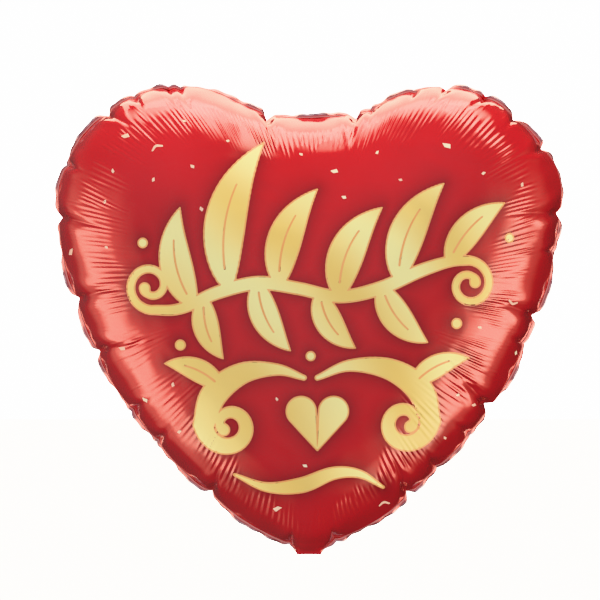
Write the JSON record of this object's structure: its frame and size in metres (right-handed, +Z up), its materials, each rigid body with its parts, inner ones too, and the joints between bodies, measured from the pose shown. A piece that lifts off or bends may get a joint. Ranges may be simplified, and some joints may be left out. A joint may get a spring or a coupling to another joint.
{
  "type": "heart-shaped foil balloon",
  "caption": "Inflated heart-shaped foil balloon: two puffed film panels sealed at a flat rim, with a self-sealing valve and a neck folded up behind the tip.",
  "frame": {"origin": "the tip of the heart on the plane of the seam, where the neck leaves the balloon and a ribbon is tied", "axes": "+X to the right across the width of the front, +Y out of the back, +Z up from the tip to the lobes"},
  "size_m": [0.3898, 0.156, 0.3617],
  "materials": {
    "red_foil": "metallised red film, glossy",
    "sealed_rim": "heat-sealed metallised film, glossy, darker red",
    "valve_film": "thin cloudy film",
    "gold_print": "pale gold ink, satin metallic",
    "confetti_print": "pale pink and cream ink, glossy"
  },
  "bodies": {
    "root": {"front_panel": "red_foil", "back_panel": "red_foil", "front_seam_margin": "sealed_rim", "back_seam_margin": "sealed_rim", "valve_front_film": "valve_film", "valve_back_film": "valve_film"},
    "neck": {"neck_front_film": "red_foil", "neck_back_film": "red_foil", "neck_valve_front": "valve_film", "neck_valve_back": "valve_film"}
  },
  "joints": [
    {"name": "neck_fold", "type": "hinge", "parent": "root", "child": "neck", "pos_m": [0, 0, -0.002], "axis": [-1, 0, 0], "range_deg": [0, 228]}
  ]
}
